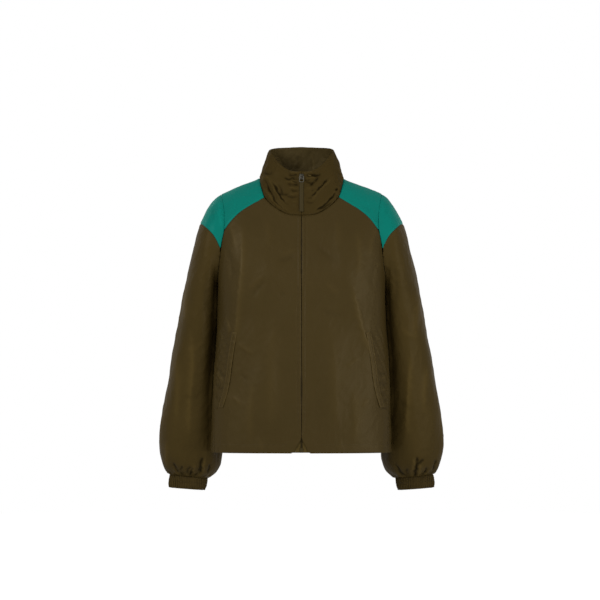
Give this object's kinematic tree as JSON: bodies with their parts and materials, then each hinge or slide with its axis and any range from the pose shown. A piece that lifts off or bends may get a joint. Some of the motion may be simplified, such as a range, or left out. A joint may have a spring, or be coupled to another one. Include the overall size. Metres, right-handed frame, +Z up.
{
  "type": "anorak",
  "caption": "Hollow zip-through shell jacket with a stand collar, contrast shoulder yokes, slanted side pockets and gathered sleeves with elastic cuffs.",
  "frame": {"origin": "between the wearer's shoulders, level with their tops beside the neck, on the jacket's centre line", "axes": "+Z up the wearer, -Y out of the front with the zip, +X towards the wearer's left"},
  "size_m": [0.6304, 0.252, 0.7583],
  "materials": {
    "olive_nylon": "thin woven nylon with a soft satin sheen",
    "teal_nylon": "thin woven nylon with a soft satin sheen",
    "olive_trim": "elastic and woven tape, matt",
    "zip_metal": "dull grey metal",
    "pull_strap": "moulded strap, matt"
  },
  "bodies": {
    "garment": {"front_left": "olive_nylon", "front_right": "olive_nylon", "back": "olive_nylon", "sleeve_left": "olive_nylon", "sleeve_right": "olive_nylon", "collar": "olive_nylon", "pocket_left": "olive_nylon", "pocket_right": "olive_nylon", "yoke_left": "teal_nylon", "yoke_right": "teal_nylon", "sleeve_cap_left": "teal_nylon", "sleeve_cap_right": "teal_nylon", "cuff_left": "olive_trim", "cuff_right": "olive_trim", "zip_tape_left": "olive_trim", "zip_tape_right": "olive_trim", "zip_chain": "zip_metal", "zip_slider": "zip_metal"},
    "zip_pull": {"zip_link": "zip_metal", "zip_strap": "pull_strap"}
  },
  "joints": [
    {"name": "zip_pull_swing", "type": "hinge", "parent": "garment", "child": "zip_pull", "pos_m": [0, -0.0748, 0.02889], "axis": [-1, 0, 0], "range_deg": [0, 150]}
  ]
}
